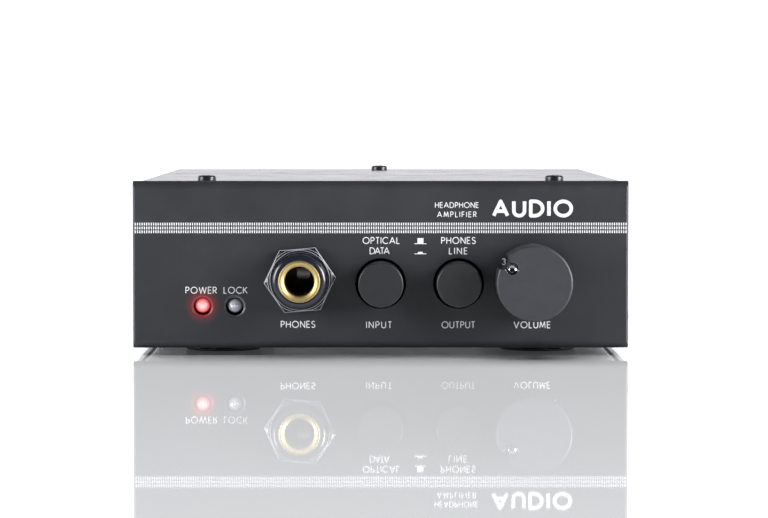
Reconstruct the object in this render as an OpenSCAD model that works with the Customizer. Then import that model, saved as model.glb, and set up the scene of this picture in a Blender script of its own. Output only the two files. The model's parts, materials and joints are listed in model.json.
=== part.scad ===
// Desktop headphone amplifier with digital inputs, one folded-sheet case on four rubber feet.
// X runs to the right as seen from the front, Y runs from the front panel to the back, Z runs up.
// The origin is on the ground, under the middle of the object's outer box.

/* [Case] */
// Width of the front panel and of the cover
case_w = 107; // [105:1:120]
// Depth from the front face to the rear face
case_d = 130; // [128:1:150]
// Height of the front panel
case_h = 36; // [36:0.5:42]
// Thickness of the front panel plate
panel_t = 3; // [2.5:0.1:3.2]
// Radius of the front panel's long edges
panel_edge_r = 1.8; // [0.5:0.1:2.2]
// Thickness of the cover, chassis and rear panel sheet
sheet_t = 1; // [0.8:0.1:1.2]
// Outer radius of the cover's bends
cover_bend_r = 2; // [1.5:0.1:3]
// Height of the rubber feet
foot_h = 1.8; // [1.5:0.1:8]
// Diameter of the rubber feet
foot_dia = 17; // [8:1:18]

/* [Controls] */
// Diameter of the volume knob
knob_dia = 16.3; // [14:0.1:18]
// Distance from the front face to the knob's face
knob_proud = 12.5; // [10:0.5:15]
// Sideways place of the volume knob
knob_x = 32.8; // [31:0.1:36]
// Turn of the knob's pointer notch from straight up, anticlockwise
knob_turn = 56; // [0:1:140]
// Diameter of the push buttons
button_dia = 9.75; // [8:0.05:10.2]
// Distance from the front face to the push buttons' faces
button_proud = 6.5; // [5:0.5:8]
// Sideways place of the input button
input_x = 0; // [-1:0.1:1]
// Sideways place of the output button
output_x = 16.9; // [16:0.1:18]

/* [Headphone socket] */
// Sideways place of the headphone socket
jack_x = -17.5; // [-19:0.1:-16]
// Bore of the headphone socket, for a quarter-inch plug
jack_bore = 6.43; // [6.4:0.01:6.5]
// Distance from the front face to the socket's mouth
jack_proud = 8.3; // [6:0.1:10]

/* [Lamps] */
// Sideways place of the power lamp
power_led_x = -38.7; // [-40:0.1:-38]
// Sideways place of the lock lamp
lock_led_x = -31.7; // [-32:0.1:-30]

/* [Rear] */
// Distance from the rear face to the ends of the line sockets
rca_proud = 9.5; // [8:0.5:12]
// Turn of the power rocker from its middle position
rocker_tilt = 9; // [5:1:10]

/* [Hidden] */
$fn = 64;

// Places that follow from the case
y_front = (knob_proud - case_d - rca_proud) / 2;
y_panel_back = y_front + panel_t;
y_rear = y_front + case_d;
y_rear_in = y_rear - sheet_t;
z_case = foot_h;
z_floor = z_case + sheet_t;
z_top = z_case + case_h;
z_roof = z_top - sheet_t;
fold_gap = 0.1;
tray_w = case_w - 2 * sheet_t - 2 * fold_gap;

// Heights of the controls above the case's underside
jack_z = z_case + 14.6;
button_z = z_case + 13.8;
knob_z = z_case + 14.4;
led_z = z_case + 8.95;
led_hole_z = z_case + 8.75;

// Holes in the front panel
button_hole = button_dia + 1.25;
led_hole = 3.94;
led_rim = 0.35;
pot_hole = 8;
jack_bush_dia = 11.7;
jack_bush_edge_r = 0.9;

// Lips behind the front panel, which take the cover's and the chassis's front screws
panel_over = 0.25;
panel_under = 0.3;
lip_t = 2;
lip_l = 11;
lip_w = 100;

// Screws
screw_head_dia = 4;
screw_head_h = 1.2;
screw_dia = 2.3;
screw_hole = 2.5;
front_screw_x = 38;
front_screw_y = y_front + 7;
rear_screw_y = y_rear - 12;
tray_wall_h = 12;
side_screw_z = z_case + 6.2;
side_screw_ys = [y_front + 10.8, y_rear - 10.8];
left_screw_ys = [y_front + 38, y_rear - 10.8];
rear_floor_screw_x = 36;
rear_floor_screw_y = y_rear - 7;

// Circuit board
board_t = 1.6;
board_top = z_case + 6.8;
board_w = 94;
board_y0 = y_panel_back + 1;
board_y1 = y_rear_in - 1.5;
standoff_h = board_top - board_t - z_floor;
standoff_x = 43;
standoff_ys = [y_front + 24, y_rear - 18];

// Feet
foot_x = 35;
foot_inset = 18.5;

// Headphone socket
jack_nut_r = 7.84;
jack_nut_t = 2.2;
jack_nut_turn = 4.8;
jack_washer_t = 0.5;
jack_block = [16, 15.6, 24];
jack_sleeve_dia = 9;
jack_sleeve_l = 10;
jack_funnel = 1.1;
jack_chamber = [9.4, 9.4, 14];

// Push buttons and their switches
button_l = 12.5;
plunger_w = 3;
plunger_gap = 0.12;
switch_size = [10, 12, 16];
switch_y = y_panel_back + 8;
button_travel = 3;

// Volume control
shaft_dia = 6;
shaft_gap = 0.05;
knob_gap = 0.9;
knob_edge_r = 0.5;
notch_r = 1.65;
notch_from_axis = 8.3;
dimple_r = 1.35;
dimple_from_axis = 5.85;
pot_size = [17, 15.2, 12];
pot_y = y_panel_back + 1;
pot_wall = 1.2;

// Rear sockets and switch, from the cable side of the board outward
rca_xs = [-38, -24];
rca_z = board_top + 9;
rca_dia = 8.3;
optical_x = -8;
usb_x = 8;
dc_x = 24;
rocker_x = 40;
rocker_z = z_case + 22;
optical_size = [9.7, 10, 13.5];
optical_room = [7.8, 8, 10.5];
optical_z = board_top + optical_size[1] / 2;
shutter_t = 0.7;
hinge_pin_dia = 0.8;
usb_size = [12, 10.8, 16];
usb_mouth = [8.5, 7.8];
usb_z = board_top + usb_size[1] / 2;
dc_size = [9, 11, 14];
dc_bore = 6.2;
dc_z = board_top + dc_size[1] / 2;
rocker_cut = [13.2, 8.6];
rocker_frame_t = 1.2;

// Puts a shape's +Z along the way out of the front, its +Y staying up
module facing_front(x, y, z) { translate([x, y, z]) rotate([90, 0, 0]) children(); }

// Puts a shape's +Z along the way out of the back
module facing_rear(x, y, z) { translate([x, y, z]) rotate([-90, 0, 0]) children(); }

// Puts a shape on top of the circuit board
module on_board(x, y) { translate([x, y, board_top]) children(); }

// A block centred in X and Y with its underside at zero
module block(size) { translate([-size[0] / 2, -size[1] / 2, 0]) cube(size); }

// A flat shape with its two upper corners rounded, centred on X
module round_topped(w, h, r) {
    translate([-w / 2, 0]) square([w, h - r]);
    translate([-w / 2 + r, 0]) square([w - 2 * r, h]);
    for (side = [-1, 1]) translate([side * (w / 2 - r), h - r]) circle(r);
}

// A round bar standing on zero, with its upper edge rounded
module round_nosed(dia, h, edge_r) {
    rotate_extrude() {
        square([dia / 2 - edge_r, h]);
        square([dia / 2, h - edge_r]);
        translate([dia / 2 - edge_r, h - edge_r]) intersection() {
            circle(edge_r);
            square(edge_r);
        }
    }
}

// A pan-head screw with a cross recess: its head stands on zero and its shank goes down
module pan_screw(shank_l) {
    dome_r = 5.2;
    difference() {
        intersection() {
            cylinder(d = screw_head_dia, h = screw_head_h);
            translate([0, 0, screw_head_h - dome_r]) sphere(dome_r);
        }
        for (turn = [0, 90]) rotate(turn) translate([0, 0, 0.5]) block([2.1, 0.5, 1]);
    }
    translate([0, 0, -shank_l]) cylinder(d = screw_dia, h = shank_l + 0.1);
}

// The places of the two front screws, on the right and on the left
module at_front_screws() {
    for (side = [-1, 1]) translate([side * front_screw_x, front_screw_y, 0]) children();
}

// The places of the side screws, with +Z pointing out of the case: on the left, the front one sits further back
module at_side_screws() {
    for (side = [-1, 1], y = side > 0 ? side_screw_ys : left_screw_ys)
        translate([side * case_w / 2, y, side_screw_z]) rotate([0, side * 90, 0]) children();
}

module at_rear_floor_screws() {
    for (side = [-1, 1]) translate([side * rear_floor_screw_x, rear_floor_screw_y, 0]) children();
}

module at_standoffs() {
    for (side = [-1, 1], y = standoff_ys) translate([side * standoff_x, y, 0]) children();
}

// ---- Case ----

// The face plate: a little larger than the case, rounded along its top and bottom, with bevelled ends
module face_plate() {
    bevel = 0.4;
    reach = case_w / 2 + panel_over;
    plate_h = case_h + panel_under;
    intersection() {
        translate([-reach, y_front, z_top - plate_h]) rotate([90, 0, 90]) linear_extrude(2 * reach) {
            translate([panel_edge_r, 0]) square([panel_t - panel_edge_r, plate_h]);
            translate([0, panel_edge_r]) square([panel_t, plate_h - 2 * panel_edge_r]);
            for (z = [panel_edge_r, plate_h - panel_edge_r])
                translate([panel_edge_r, z]) circle(panel_edge_r);
        }
        translate([0, y_front, 0]) linear_extrude(z_top + 1)
            polygon([[-reach + bevel, 0], [reach - bevel, 0], [reach, bevel],
                [reach, panel_t], [-reach, panel_t], [-reach, bevel]]);
    }
}

module front_panel() {
    color([0.25, 0.26, 0.28]) difference() {
        union() {
            face_plate();
            for (z = [z_floor, z_roof - lip_t])
                translate([-lip_w / 2, y_panel_back - 0.1, z]) cube([lip_w, lip_l, lip_t]);
        }
        facing_front(jack_x, y_panel_back + 1, jack_z) cylinder(d = jack_bush_dia + 0.2, h = panel_t + 2);
        for (x = [input_x, output_x])
            facing_front(x, y_panel_back + 1, button_z) cylinder(d = button_hole, h = panel_t + 2);
        facing_front(knob_x, y_panel_back + 1, knob_z) cylinder(d = pot_hole, h = panel_t + 2);
        for (x = [power_led_x, lock_led_x]) facing_front(x, y_panel_back, led_hole_z) {
            translate([0, 0, -1]) cylinder(d = led_hole, h = panel_t + 2);
            translate([0, 0, panel_t - led_rim])
                cylinder(d1 = led_hole, d2 = led_hole + 4 * led_rim, h = 2 * led_rim);
        }
        at_front_screws() translate([0, 0, z_floor - 1]) cylinder(d = screw_dia, h = case_h);
    }
}

// The cover: a top and two full-height sides folded from one sheet
module top_cover() {
    color([0.27, 0.28, 0.30]) difference() {
        translate([0, y_rear, z_case]) rotate([90, 0, 0]) linear_extrude(case_d - panel_t) difference() {
            round_topped(case_w, case_h, cover_bend_r);
            translate([0, -1])
                round_topped(case_w - 2 * sheet_t, case_h - sheet_t + 1, cover_bend_r - sheet_t);
        }
        at_front_screws() translate([0, 0, z_top - 3]) cylinder(d = screw_hole, h = 4);
        translate([0, rear_screw_y, z_top - 3]) cylinder(d = screw_hole, h = 4);
        at_side_screws() translate([0, 0, -1.5 * sheet_t]) cylinder(d = screw_hole, h = 3);
    }
}

// The chassis: the case's floor, with two low walls that the cover's sides are screwed to
module bottom_chassis() {
    color([0.22, 0.22, 0.24]) difference() {
        translate([0, y_rear, z_case + tray_wall_h]) rotate([90, 0, 0]) rotate(180)
            linear_extrude(case_d - panel_t) difference() {
                round_topped(tray_w, tray_wall_h, 1.4);
                translate([0, -1]) round_topped(tray_w - 2 * sheet_t, tray_wall_h - sheet_t + 1, 0.4);
            }
        translate([-case_w / 2, y_rear_in - fold_gap, z_floor]) cube([case_w, 3, tray_wall_h]);
        at_front_screws() translate([0, 0, z_case - 1]) cylinder(d = screw_hole, h = 3);
        at_rear_floor_screws() translate([0, 0, z_case - 1]) cylinder(d = screw_hole, h = 3);
        at_side_screws() translate([0, 0, -4]) cylinder(d = screw_dia, h = 5);
    }
}

// The rear panel: a sheet with a tab on top and a flange on the chassis floor
module rear_panel() {
    tab_w = 26;
    tab_l = 16;
    flange_w = 88;
    flange_l = 10;
    color([0.24, 0.25, 0.27]) difference() {
        union() {
            translate([-tray_w / 2, y_rear_in, z_floor]) cube([tray_w, sheet_t, z_roof - z_floor]);
            translate([-tab_w / 2, y_rear - tab_l, z_roof - sheet_t]) cube([tab_w, tab_l, sheet_t]);
            translate([-flange_w / 2, y_rear - flange_l, z_floor]) cube([flange_w, flange_l, sheet_t]);
        }
        translate([0, rear_screw_y, z_roof - 3]) cylinder(d = screw_dia, h = 5);
        at_rear_floor_screws() translate([0, 0, z_floor - 1]) cylinder(d = screw_dia, h = 4);
        for (x = rca_xs) facing_rear(x, y_rear_in - 1, rca_z) cylinder(d = rca_dia + 2.2, h = 4);
        facing_rear((rca_xs[0] + rca_xs[1]) / 2, y_rear_in - 1, rca_z) cylinder(d = screw_hole, h = 4);
        facing_rear(optical_x, y_rear_in - 1, optical_z)
            block([optical_size[0] + 0.4, optical_size[1] + 0.4, 4]);
        facing_rear(usb_x, y_rear_in - 1, usb_z) block([usb_size[0] + 0.4, usb_size[1] + 0.4, 4]);
        facing_rear(dc_x, y_rear_in - 1, dc_z) cylinder(d = dc_bore + 2.2, h = 4);
        facing_rear(rocker_x, y_rear_in - 1, rocker_z) block([rocker_cut[0] + 0.1, rocker_cut[1] + 0.1, 4]);
    }
}

module rubber_feet() {
    bevel = 0.4;
    for (side = [-1, 1], y = [y_front + foot_inset, y_rear - foot_inset])
        color([0.08, 0.08, 0.08]) translate([side * foot_x, y, 0]) {
            cylinder(d1 = foot_dia - 2 * bevel, d2 = foot_dia, h = bevel);
            translate([0, 0, bevel]) cylinder(d = foot_dia, h = foot_h - bevel);
        }
}

module cover_screws() {
    color([0.12, 0.12, 0.12]) {
        at_front_screws() translate([0, 0, z_top]) pan_screw(sheet_t + lip_t - 0.1);
        translate([0, rear_screw_y, z_top]) pan_screw(4);
    }
}

module side_screws() { color([0.12, 0.12, 0.12]) at_side_screws() pan_screw(3.5); }

module bottom_screws() {
    color([0.12, 0.12, 0.12]) {
        at_front_screws() translate([0, 0, z_case]) rotate([180, 0, 0]) pan_screw(sheet_t + lip_t - 0.1);
        at_rear_floor_screws() translate([0, 0, z_case]) rotate([180, 0, 0]) pan_screw(sheet_t + 1.5);
    }
}

// ---- Headphone socket ----

jack_block_y = y_panel_back + jack_washer_t;
jack_mouth_y = y_front - jack_proud;

// The moulded body: a block behind the panel and a round bush that comes out through it
module headphone_socket_body() {
    bush_l = jack_block_y - jack_mouth_y;
    color([0.06, 0.06, 0.06]) difference() {
        union() {
            facing_front(jack_x, jack_block_y + jack_block[2], jack_z) block(jack_block);
            facing_front(jack_x, jack_block_y + 0.1, jack_z)
                round_nosed(jack_bush_dia, bush_l + 0.1, jack_bush_edge_r);
        }
        facing_front(jack_x, jack_mouth_y + jack_sleeve_l, jack_z)
            cylinder(d = jack_sleeve_dia, h = jack_sleeve_l + 1);
        facing_front(jack_x, jack_block_y + jack_block[2] - 1, jack_z)
            cylinder(d = 7, h = jack_block[2] + bush_l - 2);
        facing_front(jack_x, jack_block_y + 20, jack_z) block(jack_chamber);
    }
}

// The hexagonal panel nut, with its front corners rounded off
module headphone_socket_nut() {
    color([0.07, 0.07, 0.07]) facing_front(jack_x, y_front, jack_z) rotate(jack_nut_turn) difference() {
        intersection() {
            cylinder(r = jack_nut_r, h = jack_nut_t, $fn = 6);
            cylinder(r1 = jack_nut_r + 2.2, r2 = jack_nut_r - 0.9, h = jack_nut_t);
        }
        translate([0, 0, -1]) cylinder(d = jack_bush_dia + 0.1, h = jack_nut_t + 2);
    }
}

module headphone_socket_washer() {
    color([0.7, 0.7, 0.7]) facing_front(jack_x, jack_block_y, jack_z) difference() {
        cylinder(d = 15, h = jack_washer_t);
        translate([0, 0, -1]) cylinder(d = jack_bush_dia + 0.2, h = jack_washer_t + 2);
    }
}

// The gilded sleeve that guides the plug, with a flared mouth
module headphone_socket_sleeve() {
    color([0.83, 0.66, 0.35]) facing_front(jack_x, jack_mouth_y + jack_sleeve_l, jack_z) difference() {
        cylinder(d = jack_sleeve_dia, h = jack_sleeve_l);
        translate([0, 0, -1]) cylinder(d = jack_bore, h = jack_sleeve_l + 2);
        translate([0, 0, jack_sleeve_l - jack_funnel])
            cylinder(d1 = jack_bore, d2 = jack_sleeve_dia - 0.5, h = jack_funnel + 0.01);
    }
}

// Three leaf contacts round the plug's path: sleeve below, ring at the side, tip on top
module headphone_contacts() {
    leaf_t = 0.3;
    leaf_w = 2.4;
    off = 3.5;
    foot_l = 0.6;
    leaf_l = 5;
    color([0.8, 0.65, 0.35]) for (leaf = [[180, 7], [90, 9], [0, 13]])
        translate([jack_x, jack_block_y + leaf[1], jack_z]) rotate([0, leaf[0], 0]) {
            translate([-leaf_w / 2, 0, off]) cube([leaf_w, leaf_l, leaf_t]);
            translate([-leaf_w / 2, 0, off]) cube([leaf_w, foot_l, jack_chamber[0] / 2 - off]);
        }
}

// ---- Push buttons ----

// A round button cap with a rounded face edge, and a square socket behind for the switch's plunger
module button_cap(x) {
    facing_front(x, y_front - button_proud + button_l, button_z) difference() {
        round_nosed(button_dia, button_l, 0.3);
        translate([0, 0, -1]) block([plunger_w, plunger_w, 7]);
    }
}

// The plunger: a square bar from inside the cap to inside the switch
module switch_plunger(x) {
    cap_back = y_front - button_proud + button_l;
    facing_front(x, switch_y + 9, button_z)
        block([plunger_w, plunger_w, switch_y + 9 - cap_back + 6]);
}

// The latching switch on the board, open in front for its plunger
module switch_body(x) {
    room = plunger_w + 2 * plunger_gap;
    difference() {
        on_board(x, switch_y + switch_size[2] / 2) block([switch_size[0], switch_size[2], switch_size[1]]);
        facing_front(x, switch_y + 13, button_z) block([room, room, 20]);
    }
}

module input_button() { color([0.20, 0.20, 0.22]) button_cap(input_x); }
module output_button() { color([0.20, 0.20, 0.22]) button_cap(output_x); }
module input_plunger() { color([0.9, 0.9, 0.88]) switch_plunger(input_x); }
module output_plunger() { color([0.9, 0.9, 0.88]) switch_plunger(output_x); }
module input_switch_body() { color([0.15, 0.15, 0.15]) switch_body(input_x); }
module output_switch_body() { color([0.15, 0.15, 0.15]) switch_body(output_x); }

// ---- Volume control ----

// The knob: a drum with a rounded face edge. A round notch in its side shows the printed number, and a
// small dimple beside the notch is the pointer.
module volume_knob() {
    knob_l = knob_proud - knob_gap;
    color([0.30, 0.31, 0.33]) facing_front(knob_x, y_front - knob_gap, knob_z) difference() {
        round_nosed(knob_dia, knob_l, knob_edge_r);
        rotate(knob_turn) translate([0, notch_from_axis, -1]) cylinder(r = notch_r, h = knob_l + 2);
        rotate(knob_turn) translate([0, dimple_from_axis, knob_l]) sphere(dimple_r);
        translate([0, 0, -1]) cylinder(d = shaft_dia, h = knob_l - 1.5);
    }
}

module volume_shaft() {
    shaft_l = knob_proud - 3 + panel_t + 10;
    color([0.75, 0.75, 0.76]) facing_front(knob_x, y_panel_back + 10, knob_z)
        cylinder(d = shaft_dia, h = shaft_l);
}

// The wiper disc that turns with the shaft inside the control
module volume_wiper() {
    color([0.85, 0.8, 0.6]) facing_front(knob_x, pot_y + 7, knob_z) difference() {
        cylinder(d = 11, h = 1.5);
        translate([0, 0, -1]) cylinder(d = shaft_dia, h = 4);
    }
}

// The control's metal body, with the collar that carries the shaft
module volume_control_body() {
    bore = shaft_dia + 2 * shaft_gap;
    color([0.7, 0.7, 0.72]) difference() {
        union() {
            on_board(knob_x, pot_y + pot_size[2] / 2) block([pot_size[0], pot_size[2], pot_size[1]]);
            facing_front(knob_x, pot_y + 0.1, knob_z) cylinder(d = pot_hole - 0.4, h = pot_y - y_front);
        }
        facing_front(knob_x, pot_y + pot_size[2] - pot_wall - 1, knob_z) cylinder(d = bore, h = 30);
        facing_front(knob_x, pot_y + pot_size[2] - pot_wall, knob_z)
            cylinder(d = 12.4, h = pot_size[2] - 2 * pot_wall);
    }
}

module volume_track() {
    color([0.35, 0.2, 0.1]) facing_front(knob_x, pot_y + 9.4, knob_z) difference() {
        cylinder(d = 12.4, h = 0.8);
        translate([0, 0, -1]) cylinder(d = shaft_dia + 1, h = 4);
    }
}

// ---- Lamps ----

led_l = 5.2;
led_dia = 2.95;

// A three-millimetre lamp: a round-ended lens on a flange
module lamp(x) {
    facing_front(x, y_front + 0.1 + led_l, led_z) {
        cylinder(d = 3.6, h = 0.9);
        cylinder(d = led_dia, h = led_l - led_dia / 2);
        translate([0, 0, led_l - led_dia / 2]) sphere(d = led_dia);
    }
}

module power_led() { color([0.9, 0.2, 0.15]) lamp(power_led_x); }
module lock_led() { color([0.8, 0.8, 0.82]) lamp(lock_led_x); }

holder_y = y_front + 0.1 + led_l;
holder_t = 2.5;
lead_w = 0.5;
lead_half_pitch = 1.27;

// Where the four lamp leads run
module at_leads() {
    for (x = [power_led_x, lock_led_x], side = [-1, 1])
        translate([x + side * lead_half_pitch, 0, led_z]) children();
}

module led_holder() {
    middle = (power_led_x + lock_led_x) / 2;
    color([0.1, 0.1, 0.1]) difference() {
        on_board(middle, holder_y + holder_t / 2) block([12, holder_t, 4]);
        at_leads() translate([0, holder_y + holder_t / 2, -0.35]) block([0.7, holder_t + 1, 0.7]);
    }
}

module led_leads() {
    reach = holder_t + 1.5;
    color([0.8, 0.8, 0.8]) at_leads() {
        translate([0, holder_y + reach / 2, -lead_w / 2]) block([lead_w, reach, lead_w]);
        translate([0, holder_y + reach - lead_w / 2, board_top - led_z])
            block([lead_w, lead_w, led_z - board_top]);
    }
}

// ---- Circuit board ----

module main_board() {
    color([0.05, 0.3, 0.15]) difference() {
        translate([-board_w / 2, board_y0, board_top - board_t])
            cube([board_w, board_y1 - board_y0, board_t]);
        at_standoffs() translate([0, 0, board_top - 3]) cylinder(d = screw_hole, h = 4);
    }
}

module board_standoffs() {
    color([0.8, 0.68, 0.4]) at_standoffs() translate([0, 0, z_floor]) difference() {
        cylinder(d = 6, h = standoff_h, $fn = 6);
        translate([0, 0, -1]) cylinder(d = screw_dia, h = standoff_h + 2);
    }
}

module board_screws() {
    color([0.7, 0.7, 0.7]) at_standoffs() translate([0, 0, board_top]) pan_screw(board_t + standoff_h - 0.5);
}

// An electrolytic capacitor with its pressed groove near the foot
module can_capacitor(dia, h) {
    difference() {
        cylinder(d = dia, h = h);
        translate([0, 0, 1.5]) difference() {
            cylinder(d = dia + 1, h = 0.6);
            translate([0, 0, -1]) cylinder(d = dia - 0.6, h = 3);
        }
    }
}

module supply_capacitors() {
    color([0.15, 0.2, 0.35]) for (x = [18, 30], y = [y_rear - 44, y_rear - 31])
        on_board(x, y) can_capacitor(10, 16);
}

module output_capacitors() {
    color([0.25, 0.15, 0.3]) for (i = [0:3]) on_board(-36 + 9 * i, y_front + 44) can_capacitor(6.3, 11);
}

module film_capacitors() {
    color([0.7, 0.1, 0.1]) for (i = [0:2], j = [0, 1])
        on_board(-34 + 9 * i, y_front + 54 + 9 * j) block([7.2, 4, 8.5]);
}

// Upright power regulators: a plastic body on a metal tab
module voltage_regulators() {
    color([0.1, 0.1, 0.1]) for (x = [31, 42]) on_board(x, y_front + 70) {
        translate([0, 0, 3]) block([9.6, 4.4, 9.2]);
        translate([0, 1.6, 12.1]) block([9.6, 1.2, 3]);
        for (pin = [-2.54, 0, 2.54]) translate([pin, 0, 0]) block([0.8, 0.5, 3.1]);
    }
}

// A small finned heat sink behind the regulators
module regulator_heatsink() {
    color([0.3, 0.3, 0.3]) on_board(36.5, y_front + 73.2) {
        block([21, 1.6, 16]);
        for (i = [0:5]) translate([-10 + 4 * i, 3.5, 0]) block([1, 5.6, 16]);
    }
}

module output_relay() { color([0.9, 0.5, 0.1]) on_board(2, y_front + 48) block([15, 10, 10]); }

module digital_chips() {
    color([0.12, 0.12, 0.12]) {
        on_board(6, y_rear - 34) block([10, 10, 1.4]);
        on_board(-10, y_rear - 38) block([7, 7, 1.4]);
        on_board(-10, y_rear - 54) block([10.2, 5.3, 1.8]);
    }
}

module op_amp_chips() {
    color([0.12, 0.12, 0.12]) for (i = [0:3]) on_board(-36 + 9 * i, y_front + 36) block([5, 4, 1.7]);
}

module clock_crystals() {
    color([0.8, 0.8, 0.8]) for (i = [0, 1]) on_board(6, y_rear - 46 - 6 * i) block([11, 4.6, 3.5]);
}

// ---- Rear sockets ----

rca_block_l = 9;

module line_socket_block() {
    middle = (rca_xs[0] + rca_xs[1]) / 2;
    color([0.1, 0.1, 0.1]) difference() {
        on_board(middle, y_rear_in - rca_block_l / 2) block([27, rca_block_l, 16]);
        for (x = rca_xs) facing_rear(x, y_rear_in - rca_block_l - 1, rca_z)
            cylinder(d = 6.3, h = rca_block_l + 2);
        facing_rear(middle, y_rear_in - 6, rca_z) cylinder(d = screw_dia, h = 8);
    }
}

// The gilded outer sleeves of the line sockets, with a collar against the rear panel
module line_socket_sleeves() {
    color([0.85, 0.68, 0.35]) for (x = rca_xs) facing_rear(x, y_rear_in, rca_z) difference() {
        union() {
            cylinder(d = rca_dia + 1.6, h = sheet_t + 1.2);
            cylinder(d = rca_dia, h = sheet_t + rca_proud);
        }
        translate([0, 0, -1]) cylinder(d = 6.6, h = 30);
    }
}

module line_socket_insulators() {
    for (x = rca_xs) color(x < -30 ? [0.8, 0.1, 0.1] : [0.9, 0.9, 0.9])
        facing_rear(x, y_rear_in - rca_block_l + 1, rca_z) difference() {
            cylinder(d = 6.3, h = rca_block_l + rca_proud - 1.5);
            translate([0, 0, -1]) cylinder(d = 4.2, h = 30);
        }
}

module line_socket_contacts() {
    color([0.85, 0.68, 0.35]) for (x = rca_xs)
        facing_rear(x, y_rear_in - rca_block_l + 1, rca_z) difference() {
            cylinder(d = 4.2, h = rca_block_l + rca_proud - 2.5);
            translate([0, 0, 3]) cylinder(d = 3.3, h = 30);
        }
}

module line_socket_screw() {
    color([0.12, 0.12, 0.12]) facing_rear((rca_xs[0] + rca_xs[1]) / 2, y_rear, rca_z) pan_screw(6);
}

optical_y0 = y_rear + 0.6 - optical_size[2];
shutter_y = y_rear - 1.2;
shutter_top = optical_z + optical_room[1] / 2 - 0.75;

// The optical socket: a square-mouthed housing with two pivot holes above its mouth
module optical_socket_body() {
    color([0.07, 0.07, 0.07]) difference() {
        facing_rear(optical_x, optical_y0, optical_z) block(optical_size);
        facing_rear(optical_x, optical_y0 + optical_size[2] - optical_room[2], optical_z)
            block([optical_room[0], optical_room[1], 20]);
        translate([optical_x - 5, shutter_y, shutter_top]) rotate([0, 90, 0])
            cylinder(d = hinge_pin_dia + 0.12, h = 10);
    }
}

// The flap that keeps dust out of the optical socket, hung on its two pivots
module optical_shutter() {
    flap = [optical_room[0] - 0.6, shutter_t, 6.5];
    color([0.12, 0.12, 0.12]) {
        translate([optical_x - flap[0] / 2, shutter_y - shutter_t / 2, shutter_top - flap[2]]) cube(flap);
        translate([optical_x - 4.6, shutter_y, shutter_top]) rotate([0, 90, 0])
            cylinder(d = hinge_pin_dia, h = 9.2);
    }
}

module optical_receiver() {
    color([0.2, 0.05, 0.05]) facing_rear(optical_x, optical_y0 + 3, optical_z) {
        cylinder(d = 3, h = 1.5);
        translate([0, 0, 1.5]) sphere(d = 1.8);
    }
}

module usb_socket_shell() {
    color([0.75, 0.75, 0.76]) facing_rear(usb_x, y_rear + 0.5 - usb_size[2], usb_z) difference() {
        block(usb_size);
        translate([0, 0, 4]) linear_extrude(20)
            polygon([[-usb_mouth[0] / 2, usb_mouth[1] / 2], [usb_mouth[0] / 2, usb_mouth[1] / 2],
                [usb_mouth[0] / 2, -usb_mouth[1] / 2 + 1.8], [usb_mouth[0] / 2 - 1.8, -usb_mouth[1] / 2],
                [-usb_mouth[0] / 2 + 1.8, -usb_mouth[1] / 2], [-usb_mouth[0] / 2, -usb_mouth[1] / 2 + 1.8]]);
    }
}

module usb_socket_tongue() {
    color([0.92, 0.92, 0.9]) facing_rear(usb_x, y_rear + 0.5 - usb_size[2] + 4, usb_z) block([5.6, 3.2, 9]);
    color([0.85, 0.68, 0.35]) for (x = [-1.25, 1.25], y = [-1.65, 1.65])
        facing_rear(usb_x + x, y_rear + 0.5 - usb_size[2] + 4, usb_z + y) block([1, 0.1, 8]);
}

module power_inlet_body() {
    color([0.07, 0.07, 0.07]) difference() {
        union() {
            facing_rear(dc_x, y_rear_in - dc_size[2], dc_z) block(dc_size);
            facing_rear(dc_x, y_rear_in - 1, dc_z) cylinder(d = dc_bore + 1.8, h = sheet_t + 1.4);
        }
        facing_rear(dc_x, y_rear_in - 10, dc_z) cylinder(d = dc_bore, h = 20);
    }
}

module power_inlet_pin() {
    color([0.8, 0.8, 0.8]) facing_rear(dc_x, y_rear_in - 10, dc_z) {
        cylinder(d = 2, h = 8.5);
        translate([0, 0, 8.5]) sphere(d = 2);
    }
}

// ---- Power switch ----

rocker_w = 6;
rocker_pin = 1.6;
rocker_y = y_rear - 2.6;

// The snap-in frame of the power switch, with two pivot holes
module power_switch_frame() {
    color([0.07, 0.07, 0.07]) difference() {
        union() {
            facing_rear(rocker_x, y_rear, rocker_z)
                block([rocker_cut[0] + 1.8, rocker_cut[1] + 1.8, rocker_frame_t]);
            facing_rear(rocker_x, y_rear_in - 11, rocker_z) block([rocker_cut[0], rocker_cut[1], 12.1]);
        }
        facing_rear(rocker_x, y_rear_in - 7, rocker_z) block([rocker_cut[0] - 1.6, rocker_w + 0.6, 20]);
        translate([rocker_x, rocker_y, rocker_z - 6]) cylinder(d = rocker_pin + 0.12, h = 12);
    }
}

// The rocker: two shallow wings on a cross pin, shown pressed on its left half
module power_rocker() {
    reach = rocker_cut[0] / 2 - 1.5;
    color([0.12, 0.12, 0.12]) translate([rocker_x, rocker_y, rocker_z]) rotate([0, 0, rocker_tilt]) {
        translate([0, 0, -rocker_w / 2]) linear_extrude(rocker_w)
            polygon([[-reach, 0.6], [-reach, 2.2], [0, 3.4], [reach, 2.2],
                [reach, 0.6], [1.5, -2], [-1.5, -2]]);
        translate([0, 0, -3.9]) cylinder(d = rocker_pin, h = 7.8);
    }
}

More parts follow.
